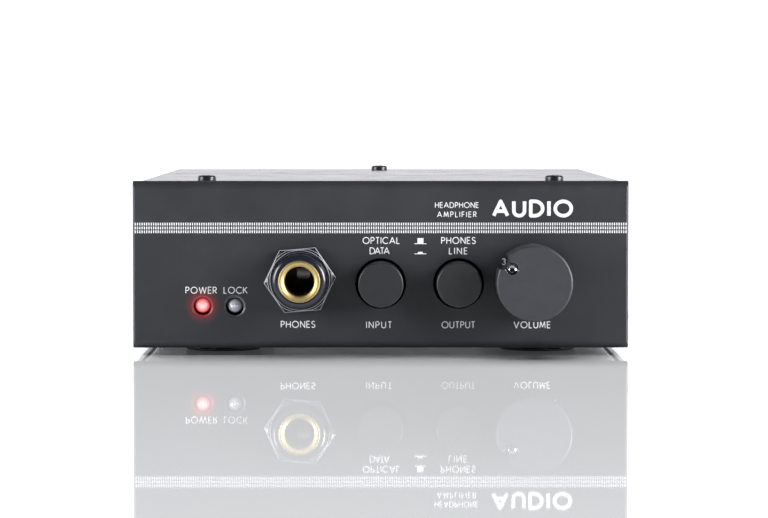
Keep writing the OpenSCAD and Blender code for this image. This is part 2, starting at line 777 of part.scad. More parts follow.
front_panel();
top_cover();
bottom_chassis();
rear_panel();
rubber_feet();
cover_screws();
side_screws();
bottom_screws();
headphone_socket_body();
headphone_socket_nut();
headphone_socket_washer();
headphone_socket_sleeve();
headphone_contacts();
input_button();
input_plunger();
input_switch_body();
output_button();
output_plunger();
output_switch_body();
volume_knob();
volume_shaft();
volume_wiper();
volume_control_body();
volume_track();
power_led();
lock_led();
led_holder();
led_leads();
main_board();
board_standoffs();
board_screws();
supply_capacitors();
output_capacitors();
film_capacitors();
voltage_regulators();
regulator_heatsink();
output_relay();
digital_chips();
op_amp_chips();
clock_crystals();
line_socket_block();
line_socket_sleeves();
line_socket_insulators();
line_socket_contacts();
line_socket_screw();
optical_socket_body();
optical_shutter();
optical_receiver();
usb_socket_shell();
usb_socket_tongue();
power_inlet_body();
power_inlet_pin();
power_switch_frame();
power_rocker();
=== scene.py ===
"""Looks of a desktop headphone amplifier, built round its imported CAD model.

Lengths are in mm. Only the softboxes' and the floor's are in metres.
"""
import json
import math

import bmesh
import bpy
from mathutils import Matrix, Vector
from mathutils.geometry import delaunay_2d_cdt


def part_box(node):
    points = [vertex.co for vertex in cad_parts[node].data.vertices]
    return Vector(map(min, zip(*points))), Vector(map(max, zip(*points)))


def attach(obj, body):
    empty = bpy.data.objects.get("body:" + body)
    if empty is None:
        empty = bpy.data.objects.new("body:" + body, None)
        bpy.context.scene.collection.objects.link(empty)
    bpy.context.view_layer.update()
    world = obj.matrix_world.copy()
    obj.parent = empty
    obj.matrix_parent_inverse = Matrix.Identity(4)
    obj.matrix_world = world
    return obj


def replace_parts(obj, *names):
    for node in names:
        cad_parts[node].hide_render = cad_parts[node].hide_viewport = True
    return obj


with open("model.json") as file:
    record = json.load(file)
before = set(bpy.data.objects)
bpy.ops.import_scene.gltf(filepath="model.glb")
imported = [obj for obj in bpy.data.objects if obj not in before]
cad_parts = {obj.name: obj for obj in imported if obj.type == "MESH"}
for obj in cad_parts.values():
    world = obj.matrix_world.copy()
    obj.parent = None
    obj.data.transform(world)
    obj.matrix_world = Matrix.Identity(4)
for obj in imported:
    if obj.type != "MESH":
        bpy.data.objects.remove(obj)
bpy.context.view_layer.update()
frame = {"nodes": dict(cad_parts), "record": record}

MM = 0.001
TAU = 2 * math.pi


# ---- Places, taken from the CAD nodes ----

def node_box(name):
    lo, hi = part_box(name)
    return lo / MM, hi / MM


def node_middle(name):
    lo, hi = node_box(name)
    return (lo + hi) / 2


panel_lo, panel_hi = node_box("front_panel")
cover_hi = node_box("top_cover")[1]
PANEL_Y = panel_lo.y
REAR_Y = node_box("rear_panel")[1].y
PANEL_TOP = panel_hi.z
NUT = node_middle("headphone_socket_nut")
SHAFT = node_middle("volume_shaft")
POWER = node_middle("power_led")
LOCK = node_middle("lock_led")
MOUTH_Y = node_box("headphone_socket_sleeve")[0].y


# ---- Camera ----

def make_camera():
    cam = bpy.data.cameras.new("camera")
    cam.sensor_width = 36
    cam.lens = 140.7
    cam.clip_start = 0.01
    cam.clip_end = 50
    obj = bpy.data.objects.new("camera", cam)
    bpy.context.scene.collection.objects.link(obj)
    obj.location = Vector((-2.1, -713.5, 53.4)) * MM
    obj.rotation_euler = (math.radians(90 - 2.862), 0, math.radians(-0.248))
    bpy.context.scene.camera = obj


make_camera()


# ---- Node helpers ----

class Shade:
    """A material's node tree, with short calls for the nodes that the finishes share."""

    def __init__(self, name):
        self.material = bpy.data.materials.new(name)
        self.material.use_nodes = True
        self.tree = self.material.node_tree
        self.tree.nodes.clear()
        self.out = self.add("ShaderNodeOutputMaterial")
        self.main = self.add("ShaderNodeBsdfPrincipled")
        self.link(self.main.outputs["BSDF"], self.out.inputs["Surface"])
        self.place = self.add("ShaderNodeTexCoord").outputs["Object"]

    def add(self, kind, **settings):
        node = self.tree.nodes.new(kind)
        for key, value in settings.items():
            setattr(node, key, value)
        return node

    def link(self, a, b):
        self.tree.links.new(a, b)

    def put(self, socket, value):
        if isinstance(value, bpy.types.NodeSocket):
            self.link(value, socket)
        elif value is not None:
            socket.default_value = value

    def noise(self, per_mm, detail=2.0, rough=0.5, stretch=None, seed=0.0):
        place = self.place
        if stretch or seed:
            mapping = self.add("ShaderNodeMapping")
            self.link(place, mapping.inputs["Vector"])
            mapping.inputs["Scale"].default_value = stretch or (1, 1, 1)
            mapping.inputs["Location"].default_value = (seed, seed * 0.7, -seed)
            place = mapping.outputs["Vector"]
        node = self.add("ShaderNodeTexNoise")
        self.link(place, node.inputs["Vector"])
        node.inputs["Scale"].default_value = per_mm / MM
        node.inputs["Detail"].default_value = detail
        node.inputs["Roughness"].default_value = rough
        return node.outputs["Fac"]

    def remap(self, value, lo, hi, to_lo=0.0, to_hi=1.0, smooth=False):
        node = self.add("ShaderNodeMapRange", interpolation_type="SMOOTHSTEP" if smooth else "LINEAR")
        self.link(value, node.inputs["Value"])
        for key, number in (("From Min", lo), ("From Max", hi), ("To Min", to_lo), ("To Max", to_hi)):
            node.inputs[key].default_value = number
        return node.outputs["Result"]

    def math(self, operation, a, b=None, c=None):
        node = self.add("ShaderNodeMath", operation=operation)
        for socket, value in zip(node.inputs, (a, b, c)):
            self.put(socket, value)
        return node.outputs[0]

    def vector(self, operation, a, b=None, scale=None):
        node = self.add("ShaderNodeVectorMath", operation=operation)
        self.put(node.inputs[0], a)
        self.put(node.inputs[1], b)
        if scale is not None:
            self.put(node.inputs["Scale"], scale)
        return node.outputs["Value"] if operation in ("LENGTH", "DOT_PRODUCT") else node.outputs["Vector"]

    def mix(self, factor, a, b):
        node = self.add("ShaderNodeMix", data_type="RGBA")
        for socket, value in ((node.inputs[0], factor), (node.inputs[6], a), (node.inputs[7], b)):
            self.put(socket, value)
        return node.outputs[2]

    def blend(self, factor, a, b):
        node = self.add("ShaderNodeMix", data_type="FLOAT")
        for socket, value in ((node.inputs[0], factor), (node.inputs[2], a), (node.inputs[3], b)):
            self.put(socket, value)
        return node.outputs[0]

    def bump(self, height, depth_mm, normal=None):
        node = self.add("ShaderNodeBump")
        self.link(height, node.inputs["Height"])
        node.inputs["Distance"].default_value = depth_mm * MM
        self.put(node.inputs["Normal"], normal)
        return node.outputs["Normal"]

    def rounded(self, radius_mm):
        node = self.add("ShaderNodeBevel", samples=4)
        node.inputs["Radius"].default_value = radius_mm * MM
        return node.outputs["Normal"]

    def edges(self, rounded):
        """1 on an edge and 0 on a flat, from how far a rounded normal leans from the face's own."""
        face = self.add("ShaderNodeNewGeometry").outputs["Normal"]
        lean = self.vector("DOT_PRODUCT", rounded, face)
        return self.remap(lean, 0.995, 0.86, smooth=True)

    def from_axis(self, through_mm, along):
        """Distance in mm from a straight line."""
        along = Vector(along).normalized()
        start = self.vector("SUBTRACT", self.place, tuple(Vector(through_mm) * MM))
        reach = self.vector("DOT_PRODUCT", start, tuple(along))
        on_line = self.vector("SCALE", tuple(along), scale=reach)
        away = self.vector("LENGTH", self.vector("SUBTRACT", start, on_line))
        return self.math("MULTIPLY", away, 1 / MM)

    def from_point(self, point_mm):
        """Distance in mm from a point."""
        away = self.vector("LENGTH", self.vector("SUBTRACT", self.place, tuple(Vector(point_mm) * MM)))
        return self.math("MULTIPLY", away, 1 / MM)

    def along(self, axis):
        """The place along X, Y or Z, in mm."""
        split = self.add("ShaderNodeSeparateXYZ")
        self.link(self.place, split.inputs["Vector"])
        return self.math("MULTIPLY", split.outputs[axis], 1 / MM)

    def constants(self, **values):
        for key, value in values.items():
            self.main.inputs[key.replace("_", " ")].default_value = value

    def finish(self, colour, rough, normal, **constants):
        """Links what every finish varies over the surface, and sets what is the same all over it."""
        for key, value in (("Base Color", colour), ("Roughness", rough), ("Normal", normal)):
            self.link(value, self.main.inputs[key])
        self.constants(**constants)
        return self.material


def grey(value, blue=0.0):
    return (value, value * (1 + blue * 0.4), value * (1 + blue), 1)


def finish_material(name, dark, light, rough, grain, depth, patch=0.12, **constants):
    """A finish with mottled colour, patchy gloss and a fine grain.

    rough is a pair of lowest and highest, and grain and patch are in features per mm.
    """
    s = Shade(name)
    tone = s.remap(s.noise(patch, 4, 0.6), 0.3, 0.7)
    fleck = s.noise(grain * 0.6, 2, 0.5, seed=3.0)
    mottle = s.math("MULTIPLY_ADD", fleck, 0.5, s.math("MULTIPLY", tone, 0.5))
    gloss = s.math("MULTIPLY_ADD", s.noise(patch * 2.3, 5, 0.6, seed=8.0), 0.7,
                   s.math("MULTIPLY", s.noise(grain * 0.3, 2, 0.5, seed=5.0), 0.3))
    return s.finish(s.mix(mottle, dark, light), s.remap(gloss, 0.3, 0.7, *rough),
                    s.bump(s.noise(grain, 3, 0.55), depth), **constants)


# ---- Materials ----

def powder_coat(name, tint, edge_tint, rough, grain=3.2, depth=0.010):
    """Fine satin black powder coat: close orange-peel grain, faint handling marks, rubbed edges.

    Gives back the Shade, with its colour and gloss, so that a caller can add to them.
    """
    s = Shade(name)
    grainy = s.math("MULTIPLY_ADD", s.noise(grain, 3, 0.55), 0.65,
                    s.math("MULTIPLY", s.noise(grain * 3.1, 1, 0.5, seed=2.0), 0.35))
    rounded = s.rounded(0.18)
    edge = s.edges(rounded)
    worn = s.math("MULTIPLY", edge, s.remap(s.noise(0.5, 4, 0.65, seed=7.0), 0.42, 0.62, 0.15, 0.8))
    tone = s.remap(s.noise(0.035, 4, 0.6, seed=1.0), 0.3, 0.7)
    dark = tuple(c * 0.86 for c in tint[:3]) + (1,)
    light = tuple(c * 1.12 for c in tint[:3]) + (1,)
    body = s.mix(s.math("MULTIPLY_ADD", grainy, 0.45, s.math("MULTIPLY", tone, 0.55)), dark, light)
    s.colour = s.mix(worn, body, edge_tint)
    marks = s.remap(s.noise(0.09, 6, 0.7, seed=4.0), 0.35, 0.7, smooth=True)
    base = s.remap(marks, 0.0, 1.0, *rough)
    s.gloss = s.blend(s.math("MULTIPLY", worn, 0.6), base, rough[0] - 0.08)
    s.finish(s.colour, s.gloss, s.bump(grainy, depth, rounded), IOR=1.5)
    return s


def panel_paint():
    """The panel's coat: glossier bevels on the lamp holes, lighter there as painted highlight, and the lit
    lamp's red glow painted round it.
    """
    s = powder_coat("panel_paint", (0.0168, 0.0184, 0.0222, 1), (0.10, 0.10, 0.11, 1), (0.40, 0.52))
    from_power, from_lock = s.from_axis(POWER, (0, 1, 0)), s.from_axis(LOCK, (0, 1, 0))
    # the lamp-hole bevels: lower roughness for real gloss, and a lighter colour as painted highlight
    rim = s.remap(s.math("MINIMUM", from_power, from_lock), 2.34, 2.28)
    # painted light: the lit lamp's red glow on the panel, as emission and a darker red base that fade out
    # from the power lamp
    painted_red_spill = s.math("POWER", s.remap(from_power, 4.4, 1.7), 2.0)
    colour = s.mix(rim, s.colour, (0.085, 0.085, 0.093, 1))
    colour = s.mix(s.math("MULTIPLY", painted_red_spill, 0.75), colour, (0.010, 0.002, 0.003, 1))
    s.link(colour, s.main.inputs["Base Color"])
    s.link(s.blend(rim, s.gloss, 0.25), s.main.inputs["Roughness"])
    uneven = s.remap(s.noise(1.2, 3, 0.6, seed=9.0), 0.3, 0.7, 0.85, 1.15)
    painted_glow = s.math("MULTIPLY", s.math("MULTIPLY", painted_red_spill, 0.26), uneven)
    s.link(painted_glow, s.main.inputs["Emission Strength"])
    s.constants(Emission_Color=(1.0, 0.012, 0.03, 1))
    return s.material


def rubber():
    return finish_material("foot_rubber", grey(0.012), grey(0.022), (0.5, 0.72), 2.4, 0.02, 0.2,
                           Specular_IOR_Level=0.4)


def screw_black():
    s = Shade("screw_black")
    rounded = s.rounded(0.08)
    worn = s.math("MULTIPLY", s.edges(rounded), s.remap(s.noise(1.6, 3, 0.6), 0.4, 0.6, 0.1, 0.9))
    tone = s.mix(s.noise(1.1, 3, 0.6, seed=2.0), grey(0.012, 0.1), grey(0.026, 0.1))
    return s.finish(s.mix(worn, tone, grey(0.16)),
                    s.remap(s.noise(2.2, 3, 0.6, seed=4.0), 0.3, 0.7, 0.20, 0.32),
                    s.bump(s.noise(5.0, 2, 0.5), 0.004, rounded), Metallic=0.35, Specular_IOR_Level=0.4)


def socket_gloss():
    """Moulded black plastic, glossy, with the faint ripple that moulding leaves."""
    s = Shade("socket_plastic")
    ripple = s.math("MULTIPLY_ADD", s.noise(0.8, 2, 0.5), 0.8, s.math("MULTIPLY", s.noise(6.0, 2, 0.5), 0.2))
    return s.finish(s.mix(s.noise(0.35, 3, 0.6), (0.006, 0.007, 0.012, 1), (0.011, 0.013, 0.021, 1)),
                    s.remap(s.noise(0.8, 5, 0.65, seed=3.0), 0.3, 0.75, 0.20, 0.30),
                    s.bump(ripple, 0.006, s.rounded(0.10)), IOR=1.52)


def gilt():
    """Gold plate over a turned part, with the tool's fine rings about the headphone socket's axis."""
    s = Shade("gilt")
    ring_pitch = 0.21
    turning = s.math("SINE", s.math("MULTIPLY", s.from_axis(NUT, (0, 1, 0)), TAU / ring_pitch))
    turning = s.math("MULTIPLY_ADD", s.noise(7.0, 2, 0.5, stretch=(1, 4, 1)), 0.5,
                     s.math("MULTIPLY", turning, 0.35))
    return s.finish(s.mix(s.noise(0.6, 3, 0.6), (0.43, 0.335, 0.150, 1), (0.51, 0.405, 0.185, 1)),
                    s.remap(s.noise(1.4, 4, 0.6, seed=3.0), 0.3, 0.7, 0.46, 0.58),
                    s.bump(turning, 0.008), Metallic=1.0)


def bright_metal(name, dark, light, rough, grain=5.0, depth=0.004, stretch=None, metallic=1.0):
    s = Shade(name)
    return s.finish(s.mix(s.noise(0.5, 4, 0.6), dark, light),
                    s.remap(s.noise(1.2, 4, 0.6, seed=3.0), 0.3, 0.7, *rough),
                    s.bump(s.noise(grain, 2, 0.5, stretch=stretch), depth), Metallic=metallic)


def knob_metal():
    """Dark anodised aluminium: turning rings on the face, a pointer dimple left bright by the cutter, and
    painted shade on the side behind the face.
    """
    s = Shade("knob_metal")
    turn, away, radius = math.radians(56), 5.85, 1.35
    ring_pitch = 0.16
    face_y = node_box("volume_knob")[0].y
    out = Vector((-math.sin(turn), 0, math.cos(turn)))
    centre = Vector((SHAFT.x, face_y, SHAFT.z)) + out * away
    cut = s.remap(s.from_point(centre), radius + 0.06, radius + 0.02)
    outward = s.from_axis((SHAFT.x, 0, SHAFT.z), (0, 1, 0))
    rings = s.math("SINE", s.math("MULTIPLY", outward, TAU / ring_pitch))
    ring_mask = s.remap(s.noise(0.9, 3, 0.6, seed=6.0), 0.3, 0.7, 0.3, 1.0)
    satin = s.mix(s.noise(0.25, 4, 0.6), (0.031, 0.034, 0.039, 1), (0.043, 0.047, 0.054, 1))
    # painted shade: the knob's side, behind its face, gets this darker colour and less metal
    shade = s.mix(s.noise(0.5, 4, 0.6, seed=5.0), (0.012, 0.0125, 0.015, 1), (0.018, 0.019, 0.022, 1))
    painted_shade_side = s.remap(s.along("Y"), face_y + 0.25, face_y + 0.6)
    rough = s.remap(s.noise(0.8, 5, 0.65, seed=2.0), 0.3, 0.7, 0.42, 0.55)
    height = s.math("MULTIPLY_ADD", s.noise(4.5, 2, 0.5), 0.6,
                    s.math("MULTIPLY", rings, s.math("MULTIPLY", ring_mask, 0.12)))
    height = s.math("MULTIPLY", height, s.math("MULTIPLY_ADD", cut, -0.95, 1.0))
    metallic = s.blend(cut, s.math("MULTIPLY_ADD", painted_shade_side, -0.35, 0.35), 1.0)
    s.link(metallic, s.main.inputs["Metallic"])
    return s.finish(s.mix(cut, s.mix(painted_shade_side, satin, shade), (0.26, 0.27, 0.29, 1)),
                    s.blend(cut, rough, 0.17), s.bump(height, 0.006, s.rounded(0.12)))


def button_plastic():
    s = Shade("button_plastic")
    return s.finish(s.mix(s.noise(0.3, 4, 0.6), (0.0088, 0.0091, 0.0110, 1), (0.0138, 0.0142, 0.0168, 1)),
                    s.remap(s.noise(0.9, 5, 0.65, seed=3.0), 0.3, 0.7, 0.36, 0.50),
                    s.bump(s.noise(5.5, 2, 0.5), 0.006, s.rounded(0.10)))


def print_ink():
    """Screen-printed off-white ink, slightly uneven in cover and gloss."""
    s = Shade("print_ink")
    return s.finish(s.mix(s.noise(2.0, 4, 0.6), (0.58, 0.585, 0.60, 1), (0.68, 0.685, 0.70, 1)),
                    s.remap(s.noise(3.0, 3, 0.6, seed=3.0), 0.3, 0.7, 0.42, 0.62),
                    s.bump(s.noise(9.0, 2, 0.5), 0.003))


def lamp_lens(name, middle, core, rim, strength, rough, through, centre, front_y, painted_glints=False):
    """A lamp's epoxy: light sits in the middle of the lens and falls away to the rim and the flange."""
    s = Shade(name)
    away = s.from_axis(centre, (0, 1, 0))
    ring = s.remap(away, 0.25, 1.45, smooth=True)
    uneven = s.remap(s.noise(1.6, 3, 0.6), 0.3, 0.7, 0.95, 1.05)
    deep = s.remap(s.along("Y"), front_y + 0.9, front_y + 2.4, smooth=True)
    flange = tuple(c * k for c, k in zip(rim[:3], (0.25, 0.05, 0.05))) + (1,)
    s.link(s.mix(deep, s.mix(ring, core, rim), flange), s.main.inputs["Emission Color"])
    s.link(s.math("MULTIPLY", uneven, strength), s.main.inputs["Emission Strength"])
    body = s.mix(s.noise(1.2, 3, 0.6, seed=2.0), middle, tuple(c * 0.9 for c in middle[:3]) + (1,))
    if painted_glints:
        # painted highlights: white spots where the side lights glint on the dome, and the cup seen through it
        # in the middle
        nearest = away
        for across in (-0.62, 0.58):
            spot = s.from_axis(centre + Vector((across, 0, -0.08)), (0, 1, 0))
            nearest = s.math("MINIMUM", nearest, spot)
        body = s.mix(s.remap(nearest, 0.30, 0.14, smooth=True), body, (0.95, 0.96, 1.0, 1))
    return s.finish(body, s.remap(s.noise(1.0, 3, 0.6, seed=4.0), 0.3, 0.7, rough, rough * 1.6),
                    s.bump(s.noise(3.0, 2, 0.5), 0.003), Transmission_Weight=through, IOR=1.5)


def rings_red_white():
    """The line sockets' insulators: the one nearer the corner is red, the other white."""
    s = Shade("socket_rings")
    is_red = s.math("LESS_THAN", s.along("X"), node_middle("line_socket_insulators").x)
    tone = s.noise(0.8, 3, 0.6)
    red = s.mix(tone, (0.50, 0.015, 0.012, 1), (0.62, 0.03, 0.02, 1))
    white = s.mix(tone, (0.66, 0.65, 0.61, 1), (0.78, 0.77, 0.73, 1))
    return s.finish(s.mix(is_red, white, red), s.remap(s.noise(1.4, 4, 0.6, seed=3.0), 0.3, 0.7, 0.28, 0.45),
                    s.bump(s.noise(4.0, 2, 0.5), 0.006))


materials = {
    "panel_paint": panel_paint(),
    "cover_paint": powder_coat("cover_paint", (0.030, 0.0325, 0.038, 1), (0.10, 0.10, 0.11, 1), (0.22, 0.27),
                               2.6, 0.0006).material,
    "screw_black": screw_black(),
    "foot_rubber": rubber(),
    "socket_plastic": socket_gloss(),
    "gilt": gilt(),
    "tinned": bright_metal("tinned", grey(0.55), grey(0.72), (0.25, 0.42)),
    "plain_steel": bright_metal("plain_steel", grey(0.50, 0.02), grey(0.66, 0.03), (0.24, 0.40), 8.0, 0.004,
                                (1, 0.1, 1)),
    "button_plastic": button_plastic(),
    "knob_metal": knob_metal(),
    "lamp_red": lamp_lens("lamp_red", (0.45, 0.06, 0.07, 1), (1.0, 0.68, 0.66, 1), (0.62, 0.10, 0.11, 1),
                          0.95, 0.16, 0.10, POWER, node_box("power_led")[0].y),
    # the clear lamp is not lit: its faint grey emission is a painted glow
    "lamp_clear": lamp_lens("lamp_clear", (0.42, 0.44, 0.50, 1), grey(0.5, 0.06), grey(0.3, 0.06), 0.09, 0.12,
                            0.15, LOCK, node_box("lock_led")[0].y, painted_glints=True),
    "print_ink": print_ink(),
    # lighter finish for the nut's edges: rubbed wear and painted highlight
    "rubbed_edge_highlight": bright_metal("rubbed_edge_highlight", grey(0.20, 0.1), grey(0.34, 0.08), (0.50, 0.62),
                                metallic=0.15),
    "contact_leaf": bright_metal("contact_leaf", (0.11, 0.105, 0.10, 1), (0.17, 0.16, 0.15, 1), (0.18, 0.28)),
    "socket_rings": rings_red_white(),
}


def moulded(name, colour, rough, grain=3.0, depth=0.01, **constants):
    dark = tuple(c * 0.8 for c in colour) + (1,)
    light = tuple(min(1.0, c * 1.15) for c in colour) + (1,)
    materials[name] = finish_material(name, dark, light, rough, grain, depth, **constants)


moulded("nylon_white", (0.72, 0.71, 0.66), (0.35, 0.5))
moulded("switch_plastic", (0.035, 0.035, 0.037), (0.4, 0.55))
moulded("rear_plastic", (0.020, 0.020, 0.022), (0.3, 0.46))
moulded("track_board", (0.12, 0.06, 0.03), (0.45, 0.6))
moulded("board_green", (0.02, 0.13, 0.05), (0.22, 0.36), 1.2)
moulded("can_blue", (0.03, 0.05, 0.15), (0.22, 0.35))
moulded("can_violet", (0.07, 0.03, 0.10), (0.22, 0.35))
moulded("film_red", (0.42, 0.02, 0.02), (0.25, 0.4))
moulded("fin_aluminium", (0.08, 0.08, 0.085), (0.35, 0.5), Metallic=0.6)
moulded("relay_orange", (0.68, 0.25, 0.03), (0.25, 0.4))
moulded("chip_black", (0.025, 0.025, 0.025), (0.5, 0.65))
moulded("receiver_lens", (0.045, 0.010, 0.011), (0.12, 0.20))


# ---- Shading of the CAD nodes ----

def smooth_by_angle(limit_deg):
    group = bpy.data.node_groups.new("smooth_by_angle", "GeometryNodeTree")
    group.interface.new_socket("Geometry", in_out="INPUT", socket_type="NodeSocketGeometry")
    group.interface.new_socket("Geometry", in_out="OUTPUT", socket_type="NodeSocketGeometry")
    start, end = group.nodes.new("NodeGroupInput"), group.nodes.new("NodeGroupOutput")
    merge = group.nodes.new("GeometryNodeMergeByDistance")
    merge.inputs["Distance"].default_value = 1e-6
    faces = group.nodes.new("GeometryNodeSetShadeSmooth")
    faces.domain = "FACE"
    edges = group.nodes.new("GeometryNodeSetShadeSmooth")
    edges.domain = "EDGE"
    edges.inputs["Shade Smooth"].default_value = False
    angle = group.nodes.new("GeometryNodeInputMeshEdgeAngle")
    sharp = group.nodes.new("FunctionNodeCompare")
    sharp.operation = "GREATER_THAN"
    sharp.inputs[1].default_value = math.radians(limit_deg)
    for a, b in ((start.outputs[0], merge.inputs[0]), (merge.outputs[0], faces.inputs[0]),
                 (faces.outputs[0], edges.inputs[0]), (edges.outputs[0], end.inputs[0]),
                 (angle.outputs["Unsigned Angle"], sharp.inputs[0]),
                 (sharp.outputs[0], edges.inputs["Selection"])):
        group.links.new(a, b)
    return group


SMOOTH = smooth_by_angle(30)
slot_of = {row["node"]: row["material_slot"] for row in frame["record"]["subparts"]}
own_finish = {"optical_receiver": "receiver_lens"}
for name, node in frame["nodes"].items():
    for index in range(len(node.data.materials)):
        node.data.materials[index] = materials[own_finish.get(name, slot_of[name])]
    node.modifiers.new("smooth", "NODES").node_group = SMOOTH
    weighted = node.modifiers.new("weighted", "WEIGHTED_NORMAL")
    weighted.keep_sharp = True


# ---- Mesh helpers ----

def finish_mesh(name, bm, slots, body, sharp_deg=35):
    """Makes a piece from a bmesh in mm, puts it on its body and names its finish."""
    bmesh.ops.remove_doubles(bm, verts=bm.verts, dist=1e-5)
    bmesh.ops.recalc_face_normals(bm, faces=bm.faces)
    mesh = bpy.data.meshes.new(name)
    bm.to_mesh(mesh)
    bm.free()
    mesh.transform(Matrix.Scale(MM, 4))
    for each in slots:
        mesh.materials.append(materials[each])
    mesh.shade_smooth()
    mesh.set_sharp_from_angle(angle=math.radians(sharp_deg))
    obj = bpy.data.objects.new(name, mesh)
    bpy.context.scene.collection.objects.link(obj)
    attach(obj, body)
    return obj


def facing_front(x, y, z):
    """Local +Z goes out of the front, +Y stays up."""
    return Matrix.Translation((x, y, z)) @ Matrix.Rotation(math.radians(90), 4, "X")


def facing_rear(x, y, z):
    return Matrix.Translation((x, y, z)) @ Matrix.Rotation(math.radians(-90), 4, "X")


def facing_up(x, y, z):
    return Matrix.Translation((x, y, z))


def arc(cx, cy, rx, ry, start, end, count):
    return [(cx + rx * math.cos(math.radians(start + (end - start) * i / count)),
             cy + ry * math.sin(math.radians(start + (end - start) * i / count))) for i in range(count + 1)]


def sweep(bm, rings, place):
    """Joins equal rings of points with quads. A ring of one point is a pole."""
    rows = []
    for ring in rings:
        rows.append([bm.verts.new(place @ Vector(p)) for p in ring])
    for a, b in zip(rows, rows[1:]):
        count = max(len(a), len(b))
        for i in range(count):
            j = (i + 1) % count
            corners = [a[i % len(a)], a[j % len(a)], b[j % len(b)], b[i % len(b)]]
            unique = list(dict.fromkeys(corners))
            if len(unique) > 2:
                bm.faces.new(unique)


def circle(radius, height, segments):
    return [(radius * math.cos(TAU * i / segments), radius * math.sin(TAU * i / segments), height)
            for i in range(segments)]


def lathe(bm, profile, place, segments=96):
    """Turns a profile of (radius, height) points about the local Z axis."""
    sweep(bm, [circle(r, z, segments) if r > 1e-6 else [(0, 0, z)] for r, z in profile], place)


# ---- Screws ----

HEAD_R = 2


def screw(bm, place, shank, head_h=1.2, segments=64):
    """A domed head with a rolled edge and a tapered cross recess, on a threaded shank."""
    dome, shoulder = 9.0, 0.42
    rings = []
    steps = 40
    for k in range(steps + 1):
        r = (HEAD_R - shoulder) * k / steps
        ring = []
        for i in range(segments if k else 1):
            a = TAU * i / segments
            u, v = abs(r * math.cos(a)), abs(r * math.sin(a))
            z = head_h - dome + math.sqrt(dome * dome - r * r)
            slot_w = 0.27 - 0.05 * max(u, v)
            across = max(min((slot_w + 0.06 - min(u, v)) / 0.10, 1), 0)
            along = max(min((1.12 - max(u, v)) / 0.12, 1), 0)
            floor = head_h - 0.85 + 0.28 * max(u, v)
            ring.append((r * math.cos(a), r * math.sin(a), z + (floor - z) * across * along))
        rings.append(ring)
    edge_z = head_h - dome + math.sqrt(dome * dome - (HEAD_R - shoulder) ** 2)
    rolled = arc(HEAD_R - shoulder, edge_z - shoulder, shoulder, shoulder, 80, 0, 7)
    for r, z in rolled + [(HEAD_R, 0.04), (HEAD_R - 0.05, 0.0), (1.3, 0.0)]:
        rings.append(circle(r, z, segments))
    pitch = 0.5
    turns = int(shank * 8 / pitch)
    for k in range(turns + 1):
        z = -shank * k / turns
        ring = []
        for i in range(segments):
            a = TAU * i / segments
            crest = abs(((z / pitch + i / segments) % 1.0) - 0.5) * 2
            r = 0.98 + 0.17 * crest
            if k == turns:
                r = 0.9
            ring.append((r * math.cos(a), r * math.sin(a), z))
        rings.append(ring)
    rings.append([(0, 0, -shank)])
    sweep(bm, rings, place)


def turned(place, degrees):
    return place @ Matrix.Rotation(math.radians(degrees), 4, "Z")


def screw_piece(name, heads, node):
    """One piece of several screws that stands for a node. Each head is a place, a turn and a shank length."""
    bm = bmesh.new()
    for place, turn, shank in heads:
        screw(bm, turned(place, turn), shank)
    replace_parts(finish_mesh(name, bm, ["screw_black"], "case"), node)


def make_screws():
    lo, hi = node_box("cover_screws")
    front_x, front_y, rear_y = hi.x - HEAD_R, lo.y + HEAD_R, hi.y - HEAD_R
    heads = [(facing_up(-front_x, front_y, cover_hi.z), 18, 2.9),
             (facing_up(front_x, front_y, cover_hi.z), 62, 2.9),
             (facing_up(0, rear_y, cover_hi.z), 37, 4)]
    screw_piece("cover_screw_set", heads, "cover_screws")

    lo, hi = node_box("side_screws")
    middle_z = (lo.z + hi.z) / 2
    # the left front one sits further back than the right one
    front_ys = {-1: PANEL_Y + 38, 1: lo.y + HEAD_R}
    heads = []
    for side in (-1, 1):
        for y, turn in ((front_ys[side], 25), (hi.y - HEAD_R, 70)):
            outward = Matrix.Rotation(side * math.pi / 2, 4, "Y")
            place = Matrix.Translation((side * cover_hi.x, y, middle_z)) @ outward
            heads.append((place, turn + 31 * side, 3.5))
    screw_piece("side_screw_set", heads, "side_screws")

    lo, hi = node_box("bottom_screws")
    bottom = node_box("bottom_chassis")[0].z
    downward = Matrix.Rotation(math.pi, 4, "X")
    # one at the front and one, a little further in, at the rear
    pair = ((hi.x - HEAD_R, lo.y + HEAD_R, 2.9, 12), (hi.x - 4, hi.y - HEAD_R, 2.5, 55))
    heads = []
    for side in (-1, 1):
        for x, y, shank, turn in pair:
            heads.append((Matrix.Translation((side * x, y, bottom)) @ downward, turn + 20 * side, shank))
    screw_piece("bottom_screw_set", heads, "bottom_screws")

    spot = node_middle("line_socket_screw")
    screw_piece("line_screw", [(facing_rear(spot.x, REAR_Y, spot.z), 40, 6)], "line_socket_screw")


make_screws()


# ---- Headphone socket ----

# the sleeve's outside, which is also its seat in the moulded body
SLEEVE_R = 4.5
SLEEVE_L = 9.9


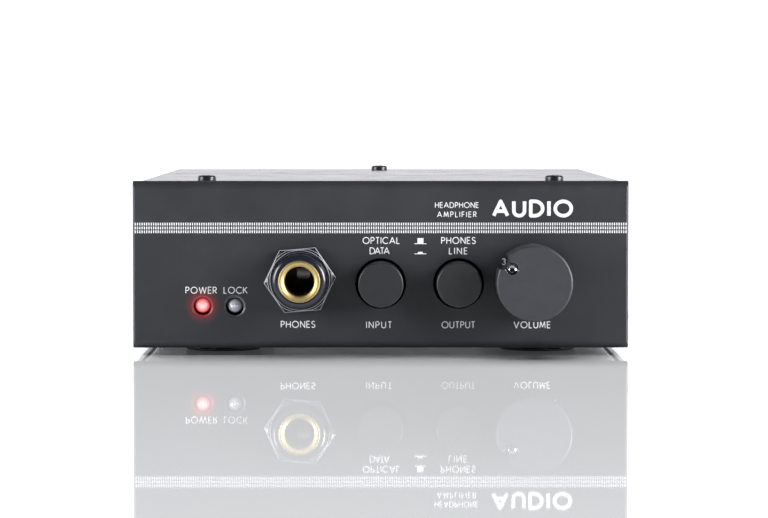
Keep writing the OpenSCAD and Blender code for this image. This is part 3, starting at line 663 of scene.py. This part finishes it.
def make_nut():
    """The hexagonal nut: chamfered corners, a shallow ring round its bore, and lighter edge strips, partly
    rubbed wear and partly painted highlight.
    """
    lo, hi = node_box("headphone_socket_nut")
    thick = hi.y - lo.y
    corner = 7.84
    flat = corner * math.cos(math.pi / 6)
    turn = math.radians(4.8)
    segments = 360
    bore, ring_r = 5.95, 6.42
    slope = math.tan(math.radians(25))
    chamfer_r = flat + 0.12
    strip = 0.13
    spokes = []
    for i in range(segments):
        a = TAU * i / segments
        lean = (a % math.radians(60)) - math.radians(30)
        side = min(flat / math.cos(lean), corner - 0.05)
        drop = max(side - chamfer_r, 0.0) * slope
        inner = min(chamfer_r, side - strip - 0.10)
        profile = [
            (bore, 0.0), (bore, thick - 0.10), (bore + 0.10, thick),
            (ring_r, thick), (ring_r + 0.10, thick - 0.12),
            (inner - 0.02, thick - 0.12), (inner + 0.08, thick - 0.17),
            (side - strip, thick - 0.20 - drop), (side, thick - 0.20 - strip - drop),
            (side, 0.14 + drop * 0.6), (side - 0.08, 0.04 + drop * 0.5),
            (min(side - 0.14, chamfer_r), 0.0), (bore, 0.0)]
        spokes.append([(r * math.cos(a + turn), r * math.sin(a + turn), z) for r, z in profile])
    bm = bmesh.new()
    sweep(bm, list(zip(*spokes)), facing_front(NUT.x, hi.y, NUT.z))
    # lighter edge strips: partly rubbed wear, partly painted highlight along the chamfers
    rubbed_highlight_strips = {2, 4, 6, 8}
    for n, face in enumerate(bm.faces):
        if n // segments + 1 in rubbed_highlight_strips:
            face.material_index = 1
    piece = finish_mesh("socket_hex_nut", bm, ["socket_plastic", "rubbed_edge_highlight"], "case", 20)
    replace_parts(piece, "headphone_socket_nut")


def make_bush():
    """The moulded socket body: a block behind the panel and a threaded bush with a rounded glossy nose."""
    radius, nose, nose_w = 5.85, 1.0, 1.15
    segments = 144
    bm = bmesh.new()
    # outside: from the mouth's inner rim over the nose, then a shoulder, then the thread
    front = [(SLEEVE_R, -SLEEVE_L), (SLEEVE_R, -0.12), (SLEEVE_R + 0.10, -0.02), (SLEEVE_R + 0.25, 0.0)]
    front += arc(radius - nose_w, -nose, nose_w, nose, 90, 0, 18)
    front += [(radius, -1.55), (radius - 0.03, -1.65)]
    rings = [circle(r, z, segments) for r, z in front]
    thread_end_y = node_box("headphone_socket_nut")[0].y - 0.05
    start, end, pitch = -1.75, -(thread_end_y - MOUTH_Y) - 5.0, 0.75
    count = int((start - end) / pitch * 12)
    for k in range(count + 1):
        z = start + (end - start) * k / count
        ring = []
        for i in range(segments):
            phase = ((z / pitch) + i / segments) % 1.0
            crest = min(max(abs(phase - 0.5) * 2 * 1.5 - 0.25, 0.0), 1.0)
            fade = min(1.0, (start - z) / 0.6)
            r = radius - 0.03 - 0.34 * (1 - crest) * fade
            a = TAU * i / segments
            ring.append((r * math.cos(a), r * math.sin(a), z))
        rings.append(ring)
    rings.append([(p[0], p[1], -12.0) for p in rings[-1]])
    place = facing_front(NUT.x, MOUTH_Y, NUT.z)
    sweep(bm, rings, place)
    # the inside step behind the sleeve, down to the chamber
    step = [(SLEEVE_R, -SLEEVE_L), (3.5, -9.95), (3.5, -12.4), (4.6, -12.6), (4.6, -34.6), (0, -34.8)]
    lathe(bm, step, place, 72)
    # the block behind the panel, with softened edges
    block_lo, block_hi = node_box("headphone_socket_body")
    x0, x1, z0, z1 = block_lo.x, block_hi.x, block_lo.z, block_hi.z
    y0, y1 = node_box("headphone_socket_washer")[1].y, block_hi.y
    soft = 0.4
    corners = []
    for cx, cz, a in ((x1, z0, -90), (x1, z1, 0), (x0, z1, 90), (x0, z0, 180)):
        sx = -soft if cx == x1 else soft
        sz = soft if cz == z0 else -soft
        corners += arc(cx + sx, cz + sz, soft, soft, a, a + 90, 4)
    mid = Vector(((x0 + x1) / 2, (z0 + z1) / 2))
    half = 8
    block_rings = []
    for y, inset in ((y0, 2.3), (y0, soft), (y0 + soft, 0), (y1 - soft, 0), (y1, soft)):
        shrink = 1 - inset / half
        block_rings.append([(mid.x + (px - mid.x) * shrink, y, mid.y + (pz - mid.y) * shrink)
                            for px, pz in corners])
    block_rings.append([(mid.x, y1, mid.y)])
    sweep(bm, block_rings, Matrix.Identity(4))
    piece = finish_mesh("socket_body", bm, ["socket_plastic"], "case", 32)
    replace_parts(piece, "headphone_socket_body")


def make_sleeve():
    """The gilded sleeve: a rolled outer lip and a deep trumpet mouth down to the plug's bore."""
    outer, bore, lip = SLEEVE_R, 3.215, 0.22
    profile = [(outer, -SLEEVE_L), (outer, -0.30)] + arc(outer - lip, -lip, lip, lip, 0, 90, 6)
    # a fine groove inside the lip, then the trumpet, then the throat
    profile += [(outer - 0.27, -0.04), (outer - 0.31, -0.20), (outer - 0.37, -0.20), (outer - 0.41, -0.09)]
    profile += [(outer - 0.45 - 0.75 * t / 8, -0.10 - 0.44 * (t / 8) ** 1.5) for t in range(9)]
    profile += [(bore + 0.085 * (1 - math.sin(t / 6 * math.pi / 2)), -0.60 - 0.45 * t / 6) for t in range(7)]
    profile += [(bore, -2.2), (bore, -4.9), (bore + 0.05, -5.0), (bore + 0.05, -5.3), (bore, -5.4),
                (bore, -9.7), (bore + 0.15, -SLEEVE_L), (outer, -SLEEVE_L)]
    bm = bmesh.new()
    lathe(bm, profile, facing_front(NUT.x, MOUTH_Y, NUT.z), 128)
    piece = finish_mesh("socket_sleeve", bm, ["gilt"], "case", 40)
    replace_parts(piece, "headphone_socket_sleeve")


def middle_of(ring):
    return [tuple(sum(p[i] for p in ring) / len(ring) for i in range(3))]


def make_leaves():
    """The plug's spring contacts, seen deep in the bore: one leaf leans in from above, one lies low."""
    bm = bmesh.new()
    inside_y = MOUTH_Y + 13.8
    thick, rows = 0.22, 8
    # from the socket's axis: left, right, bottom, top, then how far it leans and bows along the bore
    leaves = ((-0.78, 2.05, 0.0, 2.25, 0.20, 0.10), (-1.95, 0.90, -3.75, -3.42, -0.12, 0.0))
    for x0, x1, z0, z1, lean, sag in leaves:
        rings = []
        for k in range(rows + 1):
            t = k / rows
            y = inside_y - lean * t + sag * math.sin(math.pi * t)
            z = NUT.z + z0 + (z1 - z0) * t
            soft = 0.35 * (1 - math.sqrt(max(0.0, 1 - (2 * t - 1) ** 8)))
            a, b = NUT.x + x0 + soft, NUT.x + x1 - soft
            rings.append([(a, y, z), (b, y, z), (b, y + thick, z), (a, y + thick, z)])
        sweep(bm, [middle_of(rings[0])] + rings + [middle_of(rings[-1])], Matrix.Identity(4))
    finish_mesh("socket_leaf_tips", bm, ["contact_leaf"], "case", 40)


make_nut()
make_bush()
make_sleeve()
make_leaves()


# ---- Lamps ----

def make_lamp(name, node, slot, centre):
    """A three-millimetre lamp: flanged lens, with the cup and the two posts that show through it."""
    lo, hi = node_box(node)
    length = hi.y - lo.y
    radius, dome = 1.475, 1.15
    place = facing_front(centre.x, hi.y, centre.z)
    lens = [(0, 0), (1.55, 0), (1.78, 0.1), (1.8, 0.2), (1.8, 0.8), (1.7, 0.9)]
    lens += [(radius + 0.02, 0.92), (radius, 1.0), (radius, length - 1.05)]
    lens += arc(0, length - dome, radius, dome, 5, 90, 14)
    lens[-1] = (0, length)
    bm = bmesh.new()
    lathe(bm, lens, place, 64)
    piece = finish_mesh(name + "_lens", bm, [slot], "case")
    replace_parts(piece, node)

    bm = bmesh.new()
    cup = length - 2.5
    cup_x = 0.12
    bowl_of_cup = [(0.55, cup - 1.0), (0.62, cup - 0.5), (0.80, cup), (0.72, cup + 0.02), (0.42, cup - 0.34),
                   (0, cup - 0.36)]
    lathe(bm, bowl_of_cup, place @ Matrix.Translation((cup_x, 0, 0)), 32)
    for x, top in ((cup_x, cup - 1.0), (-0.95, cup - 0.4)):
        lathe(bm, [(0.2, -0.3), (0.2, top), (0, top + 0.02)], place @ Matrix.Translation((x, 0, 0)), 12)
    finish_mesh(name + "_cup", bm, ["tinned"], "case")


make_lamp("power_lamp", "power_led", "lamp_red", POWER)
make_lamp("lock_lamp", "lock_led", "lamp_clear", LOCK)


# ---- Lettering and marks ----

def bowl(cx, cy, rx, ry, start, end):
    return arc(cx, cy, rx, ry, start, end, max(4, int(abs(end - start) / 12)))


P_BOWL = [(0, 0), (0, 1), (0.25, 1)] + bowl(0.25, 0.735, 0.265, 0.265, 80, -80) + [(0.25, 0.47), (0, 0.47)]
# each glyph's width and pen strokes, in units of the letter's height
GLYPHS = {
    " ": (0.34, []),
    "A": (0.86, [[(0, 0), (0.43, 1), (0.86, 0)], [(0.14, 0.32), (0.72, 0.32)]]),
    "C": (0.84, [bowl(0.5, 0.5, 0.5, 0.5, 47, 313)]),
    "D": (0.74, [[(0, 0), (0, 1), (0.24, 1)] + bowl(0.24, 0.5, 0.5, 0.5, 84, -84) + [(0.24, 0), (0, 0)]]),
    "E": (0.48, [[(0.48, 0), (0, 0), (0, 1), (0.48, 1)], [(0, 0.52), (0.44, 0.52)]]),
    "F": (0.46, [[(0, 0), (0, 1), (0.46, 1)], [(0, 0.50), (0.42, 0.50)]]),
    "H": (0.66, [[(0, 0), (0, 1)], [(0.66, 0), (0.66, 1)], [(0, 0.52), (0.66, 0.52)]]),
    "I": (0.0, [[(0, 0), (0, 1)]]),
    "K": (0.60, [[(0, 0), (0, 1)], [(0.56, 1), (0, 0.40)], [(0.19, 0.60), (0.60, 0)]]),
    "L": (0.42, [[(0, 1), (0, 0), (0.42, 0)]]),
    "M": (0.86, [[(0, 0), (0.12, 1), (0.43, 0.14), (0.74, 1), (0.86, 0)]]),
    "N": (0.70, [[(0, 0), (0, 1), (0.70, 0), (0.70, 1)]]),
    "O": (1.0, [bowl(0.5, 0.5, 0.5, 0.5, 0, 360)]),
    "P": (0.52, [P_BOWL]),
    "R": (0.56, [P_BOWL, [(0.22, 0.47), (0.56, 0)]]),
    "S": (0.52, [bowl(0.26, 0.76, 0.23, 0.24, 30, 268) + bowl(0.26, 0.26, 0.26, 0.26, 88, -150)]),
    "T": (0.54, [[(0, 1), (0.54, 1)], [(0.27, 1), (0.27, 0)]]),
    "U": (0.66, [[(0, 1), (0, 0.33)] + bowl(0.33, 0.33, 0.33, 0.33, 186, 354) + [(0.66, 0.33), (0.66, 1)]]),
    "V": (0.80, [[(0, 1), (0.40, 0), (0.80, 1)]]),
    "W": (1.16, [[(0, 1), (0.29, 0), (0.58, 1), (0.87, 0), (1.16, 1)]]),
    "0": (0.56, [bowl(0.28, 0.5, 0.28, 0.5, 0, 360)]),
    "1": (0.24, [[(0, 0.80), (0.24, 1), (0.24, 0)]]),
    "2": (0.54, [bowl(0.27, 0.73, 0.26, 0.27, 165, -38) + [(0, 0), (0.54, 0)]]),
    "3": (0.54, [bowl(0.26, 0.76, 0.23, 0.24, 155, -86), bowl(0.26, 0.265, 0.27, 0.265, 84, -155)]),
    "4": (0.58, [[(0.44, 0), (0.44, 1), (0, 0.28), (0.58, 0.28)]]),
    "5": (0.54, [[(0.48, 1), (0.13, 1), (0.06, 0.55)] + bowl(0.26, 0.31, 0.28, 0.31, 118, -150)]),
    "6": (0.56, [[(0.40, 1), (0.06, 0.46)], bowl(0.28, 0.30, 0.28, 0.30, 0, 360)]),
    "7": (0.52, [[(0, 1), (0.52, 1), (0.16, 0)]]),
    "8": (0.56, [bowl(0.28, 0.765, 0.22, 0.235, 0, 360), bowl(0.28, 0.27, 0.28, 0.27, 0, 360)]),
    "9": (0.56, [[(0.16, 0), (0.50, 0.54)], bowl(0.28, 0.70, 0.28, 0.30, 0, 360)]),
}
# the film of ink stands this far off the paint, and starts this far under it
INK = 0.02
INK_FOOT = -0.002


def stroke_outlines(points, width):
    """A pen stroke as overlapping convex pieces: one bar for each segment and a small round at each bend."""
    half = width / 2
    round_sides = 10
    pieces = []
    closed = (Vector(points[0]) - Vector(points[-1])).length < 1e-6
    for a, b in zip(points, points[1:]):
        a, b = Vector(a), Vector(b)
        along = b - a
        if along.length < 1e-9:
            continue
        across = Vector((-along.y, along.x)).normalized() * half
        pieces.append([a - across, b - across, b + across, a + across])
    bends = points[1:-1] + ([points[0]] if closed else [])
    for p in bends:
        turns = [TAU * (i + 0.5) / round_sides for i in range(round_sides)]
        pieces.append([Vector(p) + half * Vector((math.cos(a), math.sin(a))) for a in turns])
    return pieces


def inside(p, outline):
    """True where a point lies in a convex outline that runs anticlockwise."""
    for a, b in zip(outline, outline[1:] + outline[:1]):
        if (b[0] - a[0]) * (p[1] - a[1]) - (b[1] - a[1]) * (p[0] - a[0]) < 0:
            return False
    return True


def print_shape(bm, outlines, place):
    """Overlapping flat outlines become one thin raised film of ink."""
    verts, faces = [], []
    for outline in outlines:
        start = len(verts)
        verts += [Vector((p[0], p[1])) for p in outline]
        faces.append(list(range(start, len(verts))))
    points, _, tris, _, _, _ = delaunay_2d_cdt(verts, [], faces, 0, 1e-5)
    centres = [sum((points[i] for i in t), Vector((0, 0))) / 3 for t in tris]
    kept = [t for t, centre in zip(tris, centres) if any(inside(centre, o) for o in outlines)]
    top, low = {}, {}

    def vert(table, i, z):
        if i not in table:
            table[i] = bm.verts.new(place @ Vector((points[i].x, points[i].y, z)))
        return table[i]

    border = {}
    for t in kept:
        bm.faces.new([vert(top, i, INK) for i in t])
        for i, j in zip(t, t[1:] + t[:1]):
            if (j, i) in border:
                del border[(j, i)]
            else:
                border[(i, j)] = True
    for i, j in border:
        bm.faces.new([vert(top, i, INK), vert(low, i, INK_FOOT), vert(low, j, INK_FOOT), vert(top, j, INK)])


def text_width(text, gap):
    return sum(GLYPHS[c][0] for c in text) + gap * (len(text) - 1)


def write(bm, text, place, centre, cap, stroke, gap=0.27, width=None, stretch=1.0):
    """Letters centred at a point. Given a width, the gaps are set to fill it."""
    inner = cap - stroke
    if width is not None:
        gap = ((width - stroke) / (inner * stretch) - text_width(text, 0)) / (len(text) - 1)
    x = centre[0] - text_width(text, gap) * inner * stretch / 2
    for char in text:
        advance, strokes = GLYPHS[char]
        outlines = []
        for points in strokes:
            pen_path = [(x + px * inner * stretch, centre[1] + (py - 0.5) * inner) for px, py in points]
            outlines += stroke_outlines(pen_path, stroke)
        if outlines:
            print_shape(bm, outlines, place)
        x += (advance + gap) * inner * stretch


def front_print():
    place = facing_front(0, PANEL_Y, 0)
    bm = bmesh.new()
    cap, pen = 1.52, 0.178
    legends = (
        ("POWER", -38.93, 14.13, 6.85), ("LOCK", -31.49, 14.13, 5.20), ("PHONES", NUT.x - 0.45, 6.71, 7.50),
        ("OPTICAL", 0.10, 24.92, 8.05), ("DATA", -0.22, 22.68, 4.35), ("INPUT", -0.36, 6.60, 5.60),
        ("PHONES", 16.85, 24.92, 7.50), ("LINE", 16.81, 22.66, 4.05), ("OUTPUT", 16.85, 6.60, 7.30),
        ("VOLUME", 32.86, 6.59, 8.05))
    for text, x, z, width in legends:
        write(bm, text, place, (x, z), cap, pen, width=width)
    write(bm, "HEADPHONE", place, (16.5, 32.60), 1.26, 0.155, width=9.5)
    write(bm, "AMPLIFIER", place, (16.5, 30.58), 1.26, 0.155, width=8.6)
    finish_mesh("front_legends", bm, ["print_ink"], "case", 40)

    bm = bmesh.new()
    write(bm, "AUDIO", place, (32.9, 31.85), 3.9, 0.78, width=17.6, stretch=1.12)
    finish_mesh("front_title", bm, ["print_ink"], "case", 40)

    # switch marks: button out and button in
    bm = bmesh.new()
    for z, high, lean in ((24.20, 1.20, 0.0), (22.00, 0.42, 0.22)):
        base = [(7.32, z - 0.06), (9.90, z - 0.06), (9.90, z + 0.10), (7.32, z + 0.10)]
        foot, top = z + 0.05, z + 0.05 + high
        body = [(7.95, foot), (9.27, foot), (9.27 - lean, top), (7.95 + lean, top)]
        print_shape(bm, [base, body], place)
    finish_mesh("front_marks", bm, ["print_ink"], "case", 40)


def front_band():
    """Three rows of small dashes across the whole panel."""
    place = facing_front(0, PANEL_Y, 0)
    pitch, wide, high, margin = 0.497, 0.245, 0.60, 0.42
    count = 215
    bm = bmesh.new()
    for row in (9.31, 10.16, 10.98):
        z = PANEL_TOP - row
        for i in range(count):
            x = (i - (count - 1) / 2) * pitch
            x0, x1, z0, z1 = x - wide / 2, x + wide / 2, z - high / 2, z + high / 2
            if x0 < panel_lo.x + margin or x1 > panel_hi.x - margin:
                continue
            corners = ((x0, z0), (x1, z0), (x1, z1), (x0, z1))
            top = [bm.verts.new(place @ Vector((*corner, INK))) for corner in corners]
            low = [bm.verts.new(place @ Vector((*corner, INK_FOOT))) for corner in corners]
            bm.faces.new(top)
            for a in range(4):
                b = (a + 1) % 4
                bm.faces.new((top[b], top[a], low[a], low[b]))
    finish_mesh("front_band", bm, ["print_ink"], "case", 40)


def dial_numbers():
    """0 to 10 round the volume control: the knob covers them, and its notch shows one at a time."""
    place = facing_front(0, PANEL_Y, 0)
    radius, first, step = 7.37, -140, 28
    bm = bmesh.new()
    for number in range(11):
        angle = math.radians(first + step * number)
        spot = (SHAFT.x + radius * math.sin(angle), SHAFT.z + radius * math.cos(angle))
        write(bm, str(number), place, spot, 1.5, 0.22, gap=0.22)
    finish_mesh("dial_numbers", bm, ["print_ink"], "case", 40)


def rear_print():
    upright = Matrix.Rotation(math.pi, 4, "Z") @ Matrix.Rotation(math.radians(90), 4, "X")
    place = Matrix.Translation((0, REAR_Y, 0)) @ upright
    bm = bmesh.new()
    legends = (
        ("LINE OUT", -31, 26.2), ("OPTICAL", -8, 23.4), ("DATA", 8, 23.4), ("DC IN", 24, 23.4),
        ("POWER", 40, 31.9), ("R", -46.0, 17.6), ("L", -16.2, 17.6), ("1", 34.0, 17.0), ("0", 46.0, 17.0))
    for text, x, z in legends:
        write(bm, text, place, (-x, z), 1.5, 0.2)
    finish_mesh("rear_legends", bm, ["print_ink"], "case", 40)


front_print()
front_band()
dial_numbers()
rear_print()


# ---- Floor, light and background ----

def make_floor():
    size = 6.0
    corners = [(-size, -size, 0), (size, -size, 0), (size, size, 0), (-size, size, 0)]
    mesh = bpy.data.meshes.new("floor")
    mesh.from_pydata(corners, [], [(0, 1, 2, 3)])
    obj = bpy.data.objects.new("floor", mesh)
    bpy.context.scene.collection.objects.link(obj)
    s = Shade("floor_glass")
    tone = s.mix(s.noise(0.002, 2, 0.5), (0.82, 0.825, 0.84, 1), (0.84, 0.845, 0.86, 1))
    s.link(tone, s.main.inputs["Base Color"])
    s.link(s.remap(s.noise(0.01, 3, 0.5, seed=1.0), 0.3, 0.7, 0.9, 1.0), s.main.inputs["Roughness"])
    s.constants(Emission_Color=(0.985, 0.985, 1.0, 1), Emission_Strength=0.09, Specular_IOR_Level=0.0,
                Coat_Weight=1.0, Coat_Roughness=0.02, Coat_IOR=1.5)
    mesh.materials.append(s.material)
    return obj


def softbox(name, place, aim, width, height, power):
    light = bpy.data.lights.new(name, "AREA")
    light.shape = "RECTANGLE"
    light.size, light.size_y = width, height
    light.energy = power
    obj = bpy.data.objects.new(name, light)
    bpy.context.scene.collection.objects.link(obj)
    obj.location = place
    obj.rotation_euler = (Vector(aim) - Vector(place)).to_track_quat("-Z", "Y").to_euler()
    return obj


def make_world():
    """A white studio: bright behind and beside the object, dimmer towards the camera."""
    world = bpy.data.worlds.new("studio")
    bpy.context.scene.world = world
    world.use_nodes = True
    tree = world.node_tree
    tree.nodes.clear()
    out = tree.nodes.new("ShaderNodeOutputWorld")
    back = tree.nodes.new("ShaderNodeBackground")
    where = tree.nodes.new("ShaderNodeTexCoord")
    split = tree.nodes.new("ShaderNodeSeparateXYZ")
    tree.links.new(where.outputs["Generated"], split.inputs["Vector"])
    ramps = []
    for axis, lo, hi, at_lo, at_hi in (("Y", -0.06, 0.34, 0.0, 1.45), ("Z", 0.16, 0.48, 1.0, 0.08)):
        ramp = tree.nodes.new("ShaderNodeMapRange")
        ramp.interpolation_type = "SMOOTHSTEP"
        for key, value in (("From Min", lo), ("From Max", hi), ("To Min", at_lo), ("To Max", at_hi)):
            ramp.inputs[key].default_value = value
        tree.links.new(split.outputs[axis], ramp.inputs["Value"])
        ramps.append(ramp.outputs["Result"])
    both = tree.nodes.new("ShaderNodeMath")
    both.operation = "MULTIPLY"
    tree.links.new(ramps[0], both.inputs[0])
    tree.links.new(ramps[1], both.inputs[1])
    least = tree.nodes.new("ShaderNodeMath")
    least.operation = "ADD"
    least.inputs[1].default_value = 0.03
    tree.links.new(both.outputs[0], least.inputs[0])
    tree.links.new(least.outputs[0], back.inputs["Strength"])
    back.inputs["Color"].default_value = (0.962, 0.955, 1.0, 1)
    tree.links.new(back.outputs["Background"], out.inputs["Surface"])


floor = make_floor()
make_world()
# the side softboxes light the object alone, and the overhead panel the table alone
table = bpy.data.collections.new("table")
table.objects.link(floor)
softboxes = [softbox("softbox_right", (0.84, -0.38, 0.25), (0, -0.06, 0.02), 0.55, 0.5, 22),
             softbox("softbox_left", (-0.84, -0.36, 0.25), (0, -0.06, 0.02), 0.55, 0.5, 13)]
overhead = softbox("overhead", (0, 0.20, 1.0), (0, -0.05, 0), 1.2, 1.0, 23)
overhead.light_linking.receiver_collection = table
off_table = bpy.data.collections.new("off_table")
off_table.objects.link(floor)
off_table.collection_objects[0].light_linking.link_state = "EXCLUDE"
for each in softboxes:
    each.light_linking.receiver_collection = off_table

bpy.context.scene.view_settings.view_transform = "Standard"
